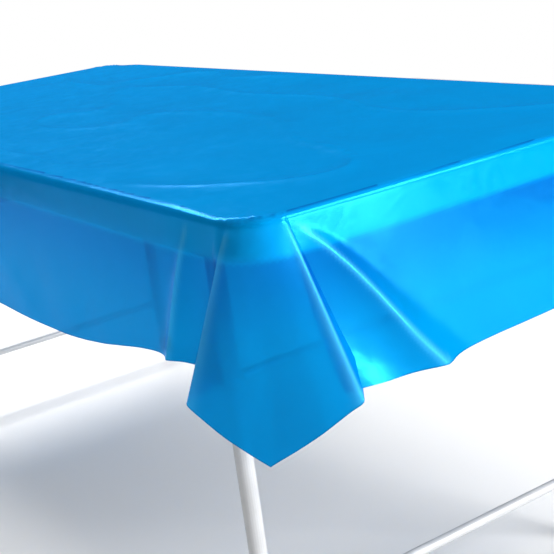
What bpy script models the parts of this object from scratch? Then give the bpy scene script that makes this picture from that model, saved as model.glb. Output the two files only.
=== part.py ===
"""A plastic film tablecloth lying on a folding table.

Units are metres, +Z is up, and the origin is on the floor under the middle of the table.
The table is 1.83 m long along Y. Its two leg frames fold inwards under the top, each held
open by a two-part brace with a knuckle, and the film hangs free all round the edge.
"""

import math

import bmesh
import bpy
from mathutils import Matrix, Vector

# Tabletop: a hollow blow-moulded panel with a deeper rim round its edge.
TABLE_LENGTH = 1.83
TABLE_WIDTH = 0.76
TABLE_HEIGHT = 0.74
EDGE_HEIGHT = 0.05
CORNER_RADIUS = 0.06
EDGE_ROUND = 0.006
PANEL_DEPTH = 0.026
SKIN = 0.003
RIM_WIDTH = 0.014
VENT_RADIUS = 0.004
VENT_FROM_END = 0.05
POST_RADIUS = 0.010
POST_ROWS = 9
POST_COLUMNS = 3

# Steel side rails, box tubes that carry the leg pivots.
RAIL_WIDTH = 0.020
RAIL_DEPTH = 0.034
RAIL_WALL = 0.002
RAIL_LENGTH = 1.62
RAIL_TO_RIM = 0.006
RAIL_SCREWS_AT = (-0.66, 0.0, 0.66)

# Leg frames.
PIVOT_FROM_END = 0.18
LEG_RADIUS = 0.0125
LEG_WALL = 0.0015
LEG_TO_RAIL = 0.010
BAR_RADIUS = 0.008
BAR_WALL = 0.0015
BAR_INTO_RAIL = 0.008
BRACE_BAR_DROP = 0.20
FOOT_BAR_HEIGHT = 0.13
FOOT_RADIUS = 0.0155
FOOT_HEIGHT = 0.032
FOOT_FLOOR = 0.005

# Nylon bushes in the rails.
BUSH_WALL = 0.002
BUSH_FLANGE = 0.0035
BUSH_FLANGE_THICK = 0.002

# Two-part braces: one long fork of two strips on the leg, one short strut on the table.
BRACE_REACH = 0.28
STRIP_THICK = 0.003
STRIP_HALF_HEIGHT = 0.009
STRUT_HALF_THICK = 0.003
STRUT_HALF_HEIGHT = 0.008
BOSS_RADIUS = 0.008
PIN_RADIUS = 0.004
RIVET_HEAD_RADIUS = 0.007
RIVET_HEAD = 0.0025
EAR_THICK = 0.003
EAR_HALF_WIDTH = 0.010
BRACKET_LENGTH = 0.075
BRACKET_WIDTH = 0.040
BRACKET_THICK = 0.003
BRACKET_SCREW_FROM_PIN = 0.026

# Pan-head screws.
SCREW_RADIUS = 0.0024
SCREW_HEAD_RADIUS = 0.0045
SCREW_HEAD = 0.0026
SCREW_INTO_PANEL = 0.012

# Film tablecloth.
FILM_THICK = 0.0005
SIDE_DROP = 0.22
END_DROP = 0.22
SIDE_FLARE = 0.014
CORNER_TIP_DROP = 0.33
CORNER_TIP_FLARE = 0.05
FLAP_HALF_WIDTH = 0.21
SKIRT_ROWS = 5
EDGE_STEPS = 3
CORNER_POINTS = 8

# Clearances and facets.
GAP = 0.0003
HOLE_GAP = 0.0004
FILM_GAP = 0.0005
CUT_PAST = 0.004
ROUND_STEPS = 24
SMALL_STEPS = 12
SMOOTH_ANGLE = math.radians(35)

# Heights and places worked out from the sizes above.
PANEL_UNDERSIDE = TABLE_HEIGHT - PANEL_DEPTH
PIVOT_Z = PANEL_UNDERSIDE - GAP - RAIL_DEPTH / 2
PIVOT_Y = TABLE_LENGTH / 2 - PIVOT_FROM_END
RIM_INSIDE_X = TABLE_WIDTH / 2 - RIM_WIDTH
RAIL_X = RIM_INSIDE_X - RAIL_TO_RIM - RAIL_WIDTH / 2
RAIL_INNER_X = RAIL_X - RAIL_WIDTH / 2
LEG_X = RAIL_INNER_X - LEG_TO_RAIL - LEG_RADIUS
BRACE_BAR_Z = PIVOT_Z - BRACE_BAR_DROP
BRACKET_Y = PIVOT_Y - BRACE_REACH
BRACE_SPAN = math.hypot(BRACE_REACH, BRACE_BAR_DROP)
FOLDED_SPAN = BRACE_REACH - BRACE_BAR_DROP
STRUT_LENGTH = (BRACE_SPAN - FOLDED_SPAN) / 2
STRIP_LENGTH = (BRACE_SPAN + FOLDED_SPAN) / 2
BRACE_ANGLE = math.atan2(BRACE_BAR_DROP, BRACE_REACH)
EAR_X = STRUT_HALF_THICK + GAP + EAR_THICK / 2
STRIP_X = EAR_X + EAR_THICK / 2 + 2 * GAP + RIVET_HEAD / 2 + STRIP_THICK / 2
ENDS = {"front": -1, "rear": 1}
SIDES = {"left": -1, "right": 1}


# --- scene helpers -------------------------------------------------------------------------


def clear_scene():
    for obj in list(bpy.data.objects):
        bpy.data.objects.remove(obj)


def make_collection(name):
    collection = bpy.data.collections.new(name)
    bpy.context.scene.collection.children.link(collection)
    return collection


def make_material(name, colour, roughness, metallic=0.0):
    material = bpy.data.materials.new(name)
    material.use_nodes = True
    shader = material.node_tree.nodes["Principled BSDF"]
    shader.inputs["Base Color"].default_value = (*colour, 1.0)
    shader.inputs["Roughness"].default_value = roughness
    shader.inputs["Metallic"].default_value = metallic
    return material


clear_scene()
PARTS = make_collection("tablecloth_on_table")
CUTTERS = make_collection("cutters")
FILM_BLUE = make_material("film_blue", (0.0, 0.29, 0.72), 0.25)
PANEL_WHITE = make_material("panel_white", (0.78, 0.78, 0.76), 0.5)
STEEL_GREY = make_material("steel_grey", (0.62, 0.63, 0.64), 0.4, 0.3)
ZINC = make_material("zinc", (0.62, 0.62, 0.60), 0.35, 1.0)
NYLON = make_material("nylon", (0.80, 0.80, 0.78), 0.5)
FOOT_GREY = make_material("foot_grey", (0.10, 0.10, 0.11), 0.7)


def add_part(name, data, material):
    """A named piece of the object."""
    obj = bpy.data.objects.new(name, data)
    PARTS.objects.link(obj)
    data.materials.append(material)
    return obj


def add_cutter(name, data, location=(0, 0, 0), rotation=(0, 0, 0)):
    obj = bpy.data.objects.new(name, data)
    obj.location = location
    obj.rotation_euler = rotation
    obj.hide_render = True
    obj.display_type = "WIRE"
    CUTTERS.objects.link(obj)
    return obj


def as_cutter(obj):
    """Moves a piece that was made as a part to the cutters."""
    PARTS.objects.unlink(obj)
    CUTTERS.objects.link(obj)
    obj.hide_render = True
    obj.display_type = "WIRE"
    return obj


def cut(obj, cutter, operation="DIFFERENCE"):
    modifier = obj.modifiers.new(cutter.name, "BOOLEAN")
    modifier.operation = operation
    modifier.object = cutter


def shade(mesh):
    mesh.shade_smooth()
    mesh.set_sharp_from_angle(angle=SMOOTH_ANGLE)


def box_mesh(name, size):
    """A box centred on its own origin."""
    mesh = bpy.data.meshes.new(name)
    bm = bmesh.new()
    bmesh.ops.create_cube(bm, size=1.0)
    bmesh.ops.scale(bm, vec=size, verts=bm.verts)
    bm.to_mesh(mesh)
    bm.free()
    return mesh


def cylinder_mesh(name, radius, length, steps=ROUND_STEPS, capped=True):
    """A cylinder along Z, centred on its own origin."""
    mesh = bpy.data.meshes.new(name)
    bm = bmesh.new()
    bmesh.ops.create_cone(
        bm, cap_ends=capped, segments=steps, radius1=radius, radius2=radius, depth=length
    )
    bm.to_mesh(mesh)
    bm.free()
    return mesh


def rows_of(mesh, centres):
    """One mesh that holds a copy of the given mesh at each centre."""
    joined = bpy.data.meshes.new(mesh.name + "_row")
    bm = bmesh.new()
    for centre in centres:
        first = len(bm.verts)
        bm.from_mesh(mesh)
        bm.verts.ensure_lookup_table()
        bmesh.ops.translate(bm, vec=centre, verts=bm.verts[first:])
    bm.to_mesh(joined)
    bm.free()
    return joined


def curve_outline(name, outlines, half_thick, rounding=0.0):
    """A flat 2D curve: the first outline is the edge, and the others are holes in it."""
    curve = bpy.data.curves.new(name, "CURVE")
    curve.dimensions = "2D"
    curve.fill_mode = "BOTH"
    curve.extrude = half_thick - rounding
    curve.bevel_depth = rounding
    curve.offset = -rounding
    curve.bevel_resolution = 2
    for outline in outlines:
        spline = curve.splines.new("POLY")
        spline.points.add(len(outline) - 1)
        for point, (x, y) in zip(spline.points, outline):
            point.co = (x, y, 0.0, 1.0)
        spline.use_cyclic_u = True
    return curve


def curve_to_part(name, curve, material, matrix):
    """The curve as a welded mesh, because a curve can't be cut and its caps are loose."""
    helper = bpy.data.objects.new(name + "_outline", curve)
    bpy.context.scene.collection.objects.link(helper)
    graph = bpy.context.evaluated_depsgraph_get()
    mesh = bpy.data.meshes.new_from_object(helper.evaluated_get(graph))
    bpy.data.objects.remove(helper)
    bm = bmesh.new()
    bm.from_mesh(mesh)
    bmesh.ops.remove_doubles(bm, verts=bm.verts, dist=1e-6)
    bmesh.ops.recalc_face_normals(bm, faces=bm.faces)
    bm.to_mesh(mesh)
    bm.free()
    shade(mesh)
    mesh.materials.clear()
    obj = add_part(name, mesh, material)
    obj.matrix_world = matrix
    return obj


def turned(name, profile, material, closed=False, steps=ROUND_STEPS):
    """A piece turned about Z. The profile is (radius, height) pairs, run down its outer side."""
    mesh = bpy.data.meshes.new(name)
    edges = [(i, i + 1) for i in range(len(profile) - 1)]
    if closed:
        edges.append((len(profile) - 1, 0))
    mesh.from_pydata([(radius, 0, height) for radius, height in profile], edges, [])
    obj = add_part(name, mesh, material)
    screw = obj.modifiers.new("turn", "SCREW")
    screw.steps = steps
    screw.render_steps = steps
    screw.use_merge_vertices = True
    screw.merge_threshold = 1e-5
    screw.use_smooth_shade = True
    return obj


def arc(centre, radius, start, stop, steps):
    """Points on a circular arc, both ends included, with angles in radians."""
    return [
        (
            centre[0] + radius * math.cos(start + (stop - start) * k / steps),
            centre[1] + radius * math.sin(start + (stop - start) * k / steps),
        )
        for k in range(steps + 1)
    ]


def circle(centre, radius, steps):
    return arc(centre, radius, 0, 2 * math.pi * (1 - 1 / steps), steps - 1)


def stadium(length, radius, steps=6):
    """The outline of a strip with round ends, from its first eye at 0 to its second at length."""
    return arc((length, 0), radius, -math.pi / 2, math.pi / 2, steps) + arc(
        (0, 0), radius, math.pi / 2, 3 * math.pi / 2, steps
    )


def rounded_rectangle(width, length, radius, steps):
    """Corner arcs, anticlockwise from the right-hand rear corner."""
    points = []
    for quarter, (side, end) in enumerate(((1, 1), (-1, 1), (-1, -1), (1, -1))):
        centre = (side * (width / 2 - radius), end * (length / 2 - radius))
        start = quarter * math.pi / 2
        points += arc(centre, radius, start, start + math.pi / 2, steps)
    return points


def tube(name, start, stop, radius, wall, material):
    """A round tube open at both ends, from start to stop."""
    start, stop = Vector(start), Vector(stop)
    along = stop - start
    mesh = cylinder_mesh(name, radius, along.length, capped=False)
    mesh.shade_smooth()
    obj = add_part(name, mesh, material)
    obj.location = (start + stop) / 2
    obj.rotation_euler = along.to_track_quat("Z", "Y").to_euler()
    solidify = obj.modifiers.new("wall", "SOLIDIFY")
    solidify.thickness = wall
    solidify.offset = -1
    return obj


# --- tabletop ------------------------------------------------------------------------------


def post_centres():
    """Where the two skins of the panel are pinched together inside."""
    across = TABLE_WIDTH / (POST_COLUMNS + 1)
    along = TABLE_LENGTH / (POST_ROWS + 1)
    return [
        (across * (i + 1) - TABLE_WIDTH / 2, along * (j + 1) - TABLE_LENGTH / 2)
        for i in range(POST_COLUMNS)
        for j in range(POST_ROWS)
    ]


def cavity_mesh():
    """The air inside the panel, with round holes through it where the posts stand."""
    inset = 2 * SKIN
    outline = rounded_rectangle(
        TABLE_WIDTH - inset, TABLE_LENGTH - inset, CORNER_RADIUS - SKIN, CORNER_POINTS
    )
    holes = [circle(centre, POST_RADIUS, SMALL_STEPS) for centre in post_centres()]
    half = PANEL_DEPTH / 2 - SKIN
    place = Matrix.Translation((0, 0, TABLE_HEIGHT - PANEL_DEPTH / 2))
    obj = curve_to_part(
        "cavity", curve_outline("cavity", [outline, *holes], half), PANEL_WHITE, place
    )
    return as_cutter(obj)


def screw_places():
    """(x, y) of every screw that goes up into the panel."""
    rail = [(side * RAIL_X, y) for side in SIDES.values() for y in RAIL_SCREWS_AT]
    bracket = [
        (0.0, end * BRACKET_Y + way * BRACKET_SCREW_FROM_PIN)
        for end in ENDS.values()
        for way in (-1, 1)
    ]
    return rail, bracket


def build_tabletop():
    outline = rounded_rectangle(TABLE_WIDTH, TABLE_LENGTH, CORNER_RADIUS, CORNER_POINTS)
    top = curve_to_part(
        "tabletop",
        curve_outline("tabletop", [outline], EDGE_HEIGHT / 2, EDGE_ROUND),
        PANEL_WHITE,
        Matrix.Translation((0, 0, TABLE_HEIGHT - EDGE_HEIGHT / 2)),
    )
    inset = 2 * RIM_WIDTH
    recess_outline = rounded_rectangle(
        TABLE_WIDTH - inset, TABLE_LENGTH - inset, CORNER_RADIUS - RIM_WIDTH, CORNER_POINTS
    )
    recess_half = (EDGE_HEIGHT - PANEL_DEPTH + CUT_PAST) / 2
    recess = curve_to_part(
        "recess",
        curve_outline("recess", [recess_outline], recess_half),
        PANEL_WHITE,
        Matrix.Translation((0, 0, PANEL_UNDERSIDE - recess_half)),
    )
    cut(top, as_cutter(recess))
    cut(top, cavity_mesh())
    rail, bracket = screw_places()
    depth = SCREW_INTO_PANEL + HOLE_GAP
    drill = cylinder_mesh("drill", SCREW_RADIUS + HOLE_GAP, depth + CUT_PAST, SMALL_STEPS)
    drill_z = PANEL_UNDERSIDE + (depth - CUT_PAST) / 2
    holes = rows_of(drill, [(x, y, drill_z) for x, y in rail + bracket])
    cut(top, add_cutter("screw_holes", holes))
    vent = cylinder_mesh("vent", VENT_RADIUS, 2 * CUT_PAST, SMALL_STEPS)
    vent_y = TABLE_LENGTH / 2 - RIM_WIDTH - VENT_FROM_END
    vents = rows_of(vent, [(0, end * vent_y, PANEL_UNDERSIDE) for end in ENDS.values()])
    cut(top, add_cutter("vents", vents))


# --- rails, bushes and screws --------------------------------------------------------------


def build_rail(side_name, side):
    centre_z = PANEL_UNDERSIDE - GAP - RAIL_DEPTH / 2
    rail = add_part(
        f"side_rail_{side_name}",
        box_mesh("rail", (RAIL_WIDTH, RAIL_LENGTH, RAIL_DEPTH)),
        STEEL_GREY,
    )
    rail.location = (side * RAIL_X, 0, centre_z)
    bore = box_mesh(
        "rail_bore",
        (RAIL_WIDTH - 2 * RAIL_WALL, RAIL_LENGTH + CUT_PAST, RAIL_DEPTH - 2 * RAIL_WALL),
    )
    cut(rail, add_cutter(f"rail_bore_{side_name}", bore, rail.location))
    drill = cylinder_mesh(
        "rail_drill", SCREW_RADIUS + HOLE_GAP, RAIL_DEPTH + CUT_PAST, SMALL_STEPS
    )
    holes = rows_of(drill, [(side * RAIL_X, y, centre_z) for y in RAIL_SCREWS_AT])
    cut(rail, add_cutter(f"rail_holes_{side_name}", holes))
    bush_hole = cylinder_mesh(
        "bush_hole", BAR_RADIUS + HOLE_GAP + BUSH_WALL + GAP, RAIL_WALL + CUT_PAST
    )
    for end_name, end in ENDS.items():
        place = (side * (RAIL_INNER_X + RAIL_WALL / 2), end * PIVOT_Y, PIVOT_Z)
        name = f"bush_hole_{side_name}_{end_name}"
        cut(rail, add_cutter(name, bush_hole, place, (0, math.pi / 2, 0)))


def build_bush(side_name, side, end_name, end):
    """A flanged nylon ring round the pivot bar, pushed into the rail's inner wall."""
    inner = BAR_RADIUS + HOLE_GAP
    outer = inner + BUSH_WALL
    flange = outer + BUSH_FLANGE
    length = RAIL_WALL + BUSH_FLANGE_THICK
    profile = [
        (inner, length),
        (outer, length),
        (outer, -GAP),
        (flange, -GAP),
        (flange, -BUSH_FLANGE_THICK),
        (inner, -BUSH_FLANGE_THICK),
    ]
    bush = turned(f"pivot_bush_{end_name}_{side_name}", profile, NYLON, closed=True)
    bush.location = (side * RAIL_INNER_X, end * PIVOT_Y, PIVOT_Z)
    bush.rotation_euler = (0, side * math.pi / 2, 0)


def build_screw(name, x, y, seat_z):
    """A pan-head screw that goes up through what it holds, into the panel's lower skin."""
    head = [
        (SCREW_HEAD_RADIUS * math.sin(a), -SCREW_HEAD * math.cos(a))
        for a in (math.radians(d) for d in (90, 60, 30, 0))
    ]
    tip = PANEL_UNDERSIDE + SCREW_INTO_PANEL - seat_z
    profile = [
        (0, tip),
        (SCREW_RADIUS, tip - SCREW_RADIUS),
        (SCREW_RADIUS, 0),
        *head[:-1],
        (0, -SCREW_HEAD),
    ]
    screw = turned(name, profile, ZINC, steps=SMALL_STEPS)
    screw.location = (x, y, seat_z)


def build_screws():
    rail, bracket = screw_places()
    rail_seat = PANEL_UNDERSIDE - GAP - RAIL_DEPTH - GAP
    bracket_seat = PANEL_UNDERSIDE - GAP - BRACKET_THICK - GAP
    for count, (x, y) in enumerate(rail, 1):
        build_screw(f"rail_screw_{count}", x, y, rail_seat)
    for count, (x, y) in enumerate(bracket, 1):
        build_screw(f"bracket_screw_{count}", x, y, bracket_seat)


# --- leg frames ----------------------------------------------------------------------------


def build_leg_frame(end_name, end):
    y = end * PIVOT_Y
    pivot_half = RAIL_INNER_X + BAR_INTO_RAIL
    tube(
        f"pivot_bar_{end_name}",
        (-pivot_half, y, PIVOT_Z),
        (pivot_half, y, PIVOT_Z),
        BAR_RADIUS,
        BAR_WALL,
        STEEL_GREY,
    )
    bar_half = LEG_X - LEG_RADIUS - GAP
    for bar_name, z in (("brace_bar", BRACE_BAR_Z), ("foot_bar", FOOT_BAR_HEIGHT)):
        tube(
            f"{bar_name}_{end_name}",
            (-bar_half, y, z),
            (bar_half, y, z),
            BAR_RADIUS,
            BAR_WALL,
            STEEL_GREY,
        )
    for side_name, side in SIDES.items():
        x = side * LEG_X
        tube(
            f"leg_{end_name}_{side_name}",
            (x, y, FOOT_FLOOR + GAP),
            (x, y, PIVOT_Z - BAR_RADIUS - GAP),
            LEG_RADIUS,
            LEG_WALL,
            STEEL_GREY,
        )
        build_foot(f"foot_cap_{end_name}_{side_name}", x, y)


def build_foot(name, x, y):
    """A plastic cup pushed over the end of the leg."""
    bore = LEG_RADIUS + HOLE_GAP
    chamfer = 0.002
    profile = [
        (0, FOOT_FLOOR),
        (bore, FOOT_FLOOR),
        (bore, FOOT_HEIGHT),
        (FOOT_RADIUS - chamfer / 2, FOOT_HEIGHT),
        (FOOT_RADIUS, FOOT_HEIGHT - chamfer),
        (FOOT_RADIUS, chamfer),
        (FOOT_RADIUS - chamfer, 0),
        (0, 0),
    ]
    foot = turned(name, profile, FOOT_GREY)
    foot.location = (x, y, 0)


# --- braces --------------------------------------------------------------------------------


def brace_plane(end, x, y, z, angle):
    """Lays a flat outline in the YZ plane: its own X runs at the angle above inwards, from (y, z)."""
    inward = Vector((0, -end * math.cos(angle), math.sin(angle)))
    normal = Vector((1, 0, 0))
    up = normal.cross(inward)
    turn = Matrix((inward, up, normal)).transposed().to_4x4()
    return Matrix.Translation((x, y, z)) @ turn


def build_strip(name, end, side):
    """One of the two long strips, with an eye round the brace bar and one at the knuckle."""
    eye = BAR_RADIUS + HOLE_GAP
    ring = eye + STRIP_THICK
    meet = math.asin(STRIP_HALF_HEIGHT / ring)
    quarter = math.pi / 2
    outline = arc((STRIP_LENGTH, 0), STRIP_HALF_HEIGHT, -quarter, quarter, SMALL_STEPS // 2)
    outline += arc((0, 0), ring, meet, 2 * math.pi - meet, ROUND_STEPS)
    holes = [
        circle((0, 0), eye, ROUND_STEPS),
        circle((STRIP_LENGTH, 0), PIN_RADIUS + HOLE_GAP, SMALL_STEPS),
    ]
    curve_to_part(
        name,
        curve_outline(name, [outline, *holes], STRIP_THICK / 2),
        ZINC,
        brace_plane(end, side * STRIP_X, end * PIVOT_Y, BRACE_BAR_Z, BRACE_ANGLE),
    )


def knuckle_place(end):
    y = end * (PIVOT_Y - STRIP_LENGTH * math.cos(BRACE_ANGLE))
    z = BRACE_BAR_Z + STRIP_LENGTH * math.sin(BRACE_ANGLE)
    return y, z


def build_rivet(name, end, side):
    """The knuckle's rivet: a head outside the strip and a shank that ends inside its hole."""
    y, z = knuckle_place(end)
    face = STRIP_THICK / 2 + GAP
    profile = [
        (0, face + RIVET_HEAD),
        (RIVET_HEAD_RADIUS * 0.7, face + RIVET_HEAD),
        (RIVET_HEAD_RADIUS, face + RIVET_HEAD * 0.4),
        (RIVET_HEAD_RADIUS, face),
        (PIN_RADIUS, face),
        (PIN_RADIUS, -STRIP_THICK / 2),
        (0, -STRIP_THICK / 2),
    ]
    rivet = turned(name, profile, ZINC, steps=SMALL_STEPS)
    rivet.location = (side * STRIP_X, y, z)
    rivet.rotation_euler = (0, side * math.pi / 2, 0)


def build_strut(end_name, end):
    """The short strut between the bracket and the knuckle, with a boss at its free end."""
    angle = math.pi + BRACE_ANGLE
    outline = stadium(STRUT_LENGTH, STRUT_HALF_HEIGHT)
    hole = circle((0, 0), PIN_RADIUS + HOLE_GAP, SMALL_STEPS)
    name = f"brace_strut_{end_name}"
    strut = curve_to_part(
        name,
        curve_outline(name, [outline, hole], STRUT_HALF_THICK),
        ZINC,
        brace_plane(end, 0, end * BRACKET_Y, PIVOT_Z, angle),
    )
    y, z = knuckle_place(end)
    boss_half = STRIP_X - STRIP_THICK / 2 - GAP
    boss = cylinder_mesh("boss", BOSS_RADIUS, 2 * boss_half)
    place = add_cutter(f"boss_{end_name}", boss, (0, y, z), (0, math.pi / 2, 0))
    cut(strut, place, "UNION")


def build_bracket(end_name, end):
    """A base plate under the panel with two ears that carry the strut's pin."""
    base_z = PANEL_UNDERSIDE - GAP - BRACKET_THICK / 2
    y = end * BRACKET_Y
    bracket = add_part(
        f"brace_bracket_{end_name}",
        box_mesh("base", (BRACKET_WIDTH, BRACKET_LENGTH, BRACKET_THICK)),
        ZINC,
    )
    bracket.location = (0, y, base_z)
    top = base_z - PIVOT_Z
    half = EAR_HALF_WIDTH
    outline = [(half, top), (-half, top), *arc((0, 0), half, math.pi, 2 * math.pi, 8)]
    hole = circle((0, 0), PIN_RADIUS + HOLE_GAP, SMALL_STEPS)
    for side_name, side in SIDES.items():
        name = f"ear_{end_name}_{side_name}"
        place = Matrix.Translation((side * EAR_X, y, PIVOT_Z))
        place = place @ Matrix(((0, 0, 1), (1, 0, 0), (0, 1, 0))).to_4x4()
        ear = curve_to_part(
            name, curve_outline(name, [outline, hole], EAR_THICK / 2), ZINC, place
        )
        cut(bracket, as_cutter(ear), "UNION")
    drill = cylinder_mesh(
        "bracket_drill", SCREW_RADIUS + HOLE_GAP, BRACKET_THICK + CUT_PAST, SMALL_STEPS
    )
    holes = rows_of(
        drill, [(0, y + way * BRACKET_SCREW_FROM_PIN, base_z) for way in (-1, 1)]
    )
    cut(bracket, add_cutter(f"bracket_holes_{end_name}", holes))
    pin_half = EAR_X + EAR_THICK / 2
    pin = add_part(
        f"bracket_pin_{end_name}",
        cylinder_mesh("pin", PIN_RADIUS, 2 * pin_half, SMALL_STEPS),
        ZINC,
    )
    pin.location = (0, y, PIVOT_Z)
    pin.rotation_euler = (0, math.pi / 2, 0)


def build_brace(end_name, end):
    build_bracket(end_name, end)
    build_strut(end_name, end)
    for side_name, side in SIDES.items():
        build_strip(f"brace_strip_{end_name}_{side_name}", end, side)
        build_rivet(f"knuckle_rivet_{end_name}_{side_name}", end, side)


# --- tablecloth ----------------------------------------------------------------------------


def film_outline():
    """Points round the table's edge as (place, outward direction, how near the corner, drop)."""
    radius = CORNER_RADIUS + FILM_GAP
    corners = rounded_rectangle(
        TABLE_WIDTH + 2 * FILM_GAP, TABLE_LENGTH + 2 * FILM_GAP, radius, CORNER_POINTS
    )
    count = CORNER_POINTS + 1
    arc_half = radius * math.pi / 4
    beside = FLAP_HALF_WIDTH - arc_half
    points = []
    for quarter in range(4):
        for k in range(count):
            share = k / CORNER_POINTS
            angle = (quarter + share) * math.pi / 2
            drop = END_DROP + (SIDE_DROP - END_DROP) * math.cos(angle) ** 2
            near = 1 - abs(2 * share - 1) * arc_half / FLAP_HALF_WIDTH
            place = Vector((*corners[quarter * count + k], 0))
            points.append((place, Vector((math.cos(angle), math.sin(angle), 0)), near, drop))
        first, outward, near, drop = points[-1]
        last = Vector((*corners[(quarter + 1) * count % len(corners)], 0))
        span = (last - first).length
        for at in (beside / 2, beside, span / 2, span - beside, span - beside / 2):
            away = min(at, span - at)
            near = max(0, 1 - (arc_half + away) / FLAP_HALF_WIDTH)
            points.append((first + (last - first) * (at / span), outward, near, drop))
    return points


def film_row(edge, inset, fall, share):
    """One ring of the film: inset from its outermost line, and part of the way down the skirt."""
    ring = []
    for place, outward, near, drop in edge:
        hang = (drop + (CORNER_TIP_DROP - drop) * near - EDGE_ROUND) * share
        out = (SIDE_FLARE + (CORNER_TIP_FLARE - SIDE_FLARE) * near) * share
        height = TABLE_HEIGHT + FILM_GAP - fall - hang
        ring.append(place + outward * (out - inset) + Vector((0, 0, height)))
    return ring


def build_tablecloth():
    """A thin open shell: a flat top and a skirt that flares out to a hanging tip at each corner."""
    edge = film_outline()
    bend = EDGE_ROUND + FILM_GAP
    rows = []
    for step in range(EDGE_STEPS + 1):
        angle = math.pi / 2 * step / EDGE_STEPS
        inset = bend * (1 - math.sin(angle))
        rows.append(film_row(edge, inset, bend * (1 - math.cos(angle)), 0))
    for row in range(1, SKIRT_ROWS + 1):
        rows.append(film_row(edge, 0, bend, row / SKIRT_ROWS))
    count = len(edge)
    faces = [tuple(range(count))]
    for row in range(len(rows) - 1):
        upper = row * count
        for k in range(count):
            beside = (k + 1) % count
            lower = upper + count
            faces.append((upper + k, lower + k, lower + beside, upper + beside))
    mesh = bpy.data.meshes.new("tablecloth")
    mesh.from_pydata([tuple(point) for ring in rows for point in ring], [], faces)
    shade(mesh)
    cloth = add_part("tablecloth", mesh, FILM_BLUE)
    solidify = cloth.modifiers.new("film", "SOLIDIFY")
    solidify.thickness = FILM_THICK
    solidify.offset = 1
    solidify.use_even_offset = True


def main():
    build_tabletop()
    for side_name, side in SIDES.items():
        build_rail(side_name, side)
        for end_name, end in ENDS.items():
            build_bush(side_name, side, end_name, end)
    build_screws()
    for end_name, end in ENDS.items():
        build_leg_frame(end_name, end)
        build_brace(end_name, end)
    build_tablecloth()


main()
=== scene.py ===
"""The look of a blue plastic film tablecloth on a folding table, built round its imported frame."""

import math

import bpy
import numpy as np
from mathutils import Matrix, Vector, noise


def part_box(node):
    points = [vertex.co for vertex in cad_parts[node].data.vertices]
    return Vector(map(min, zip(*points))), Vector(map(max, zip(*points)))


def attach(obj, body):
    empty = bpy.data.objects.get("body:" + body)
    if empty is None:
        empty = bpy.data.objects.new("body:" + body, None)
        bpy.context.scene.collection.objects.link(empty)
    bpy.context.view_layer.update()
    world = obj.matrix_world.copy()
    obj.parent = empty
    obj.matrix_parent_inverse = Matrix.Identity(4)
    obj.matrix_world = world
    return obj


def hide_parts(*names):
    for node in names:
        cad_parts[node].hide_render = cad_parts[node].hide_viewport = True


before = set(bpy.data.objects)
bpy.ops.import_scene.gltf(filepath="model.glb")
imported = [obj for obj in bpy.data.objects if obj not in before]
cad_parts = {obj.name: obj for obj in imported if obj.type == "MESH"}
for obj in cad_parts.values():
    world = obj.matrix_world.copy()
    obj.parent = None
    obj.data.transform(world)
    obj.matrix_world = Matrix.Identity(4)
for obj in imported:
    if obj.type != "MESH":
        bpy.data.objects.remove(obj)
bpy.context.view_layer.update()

bl_info = {
    "name": "Film Tablecloth on a Folding Table",
    "version": (1, 0, 0),
    "blender": (4, 5, 0),
    "location": "3D View > Sidebar > Tablecloth",
    "description": "Drapes a glossy plastic film over a folding table and finishes the table",
    "category": "Object",
}

TOP_LOW, TOP_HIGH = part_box("tabletop")
HALF_WIDTH = TOP_HIGH.x
HALF_LENGTH = TOP_HIGH.y
TOP_HEIGHT = TOP_HIGH.z
SLAB_DEPTH = TOP_HIGH.z - TOP_LOW.z
SLAB_CORNER = 0.06
SLAB_EDGE = 0.006
FILM_LIFT = 0.0008
FINE_BAND = 0.27
TURN_OUT = 1.1
FREE_DROP = 0.19
FLOOR_HALF_SIZE = 3.8
# The pinches under the panel stand on a grid that leaves an even border round it.
PINCH_COLUMNS, PINCH_ROWS = 3, 9

# Each corner's flap. "lean" is how the film's straight fall lines lean round the corner, as
# (outward across the table, outward along it), from the long side's skirt, out to the flap's first
# fold, over its front to its second fold, and back in to the end's skirt. "held" is where the two
# folds start on the slab's rounded corner, and "crisp" is how tightly they are bent.
FLAPS = {
    (-1, -1): {
        "lean": ((-0.055, -0.21), (-0.17, -0.43), (0.058, -0.492), (-0.03, -0.37), (-0.13, -0.27),
                 (-0.18, -0.08), (-0.26, 0.08), (-0.37, -0.05), (-0.20, -0.27)),
        "held": (0.27, 0.985),
        "crisp": 0.014,
    },
    (1, -1): {
        "lean": ((-0.12, -0.24), (-0.12, -0.37), (0.10, -0.38), (0.04, -0.22), (-0.04, -0.06),
                 (-0.13, 0.05), (-0.36, 0.08), (-0.36, -0.06), (-0.20, -0.12)),
        "held": (0.08, 0.92),
        "crisp": 0.02,
    },
    (-1, 1): {
        "lean": ((-0.13, -0.20), (-0.12, -0.34), (0.07, -0.42), (0.02, -0.24), (-0.05, -0.10),
                 (-0.15, 0.04), (-0.30, 0.10), (-0.34, -0.05), (-0.24, -0.10)),
        "held": (0.08, 0.92),
        "crisp": 0.02,
    },
    (1, 1): {
        "lean": ((-0.12, -0.22), (-0.13, -0.32), (0.11, -0.34), (0.05, -0.18), (-0.02, -0.02),
                 (-0.16, 0.07), (-0.38, 0.06), (-0.38, -0.06), (-0.22, -0.13)),
        "held": (0.08, 0.92),
        "crisp": 0.02,
    },
}
FIRST_FOLD, SECOND_FOLD = 2, 6


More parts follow.
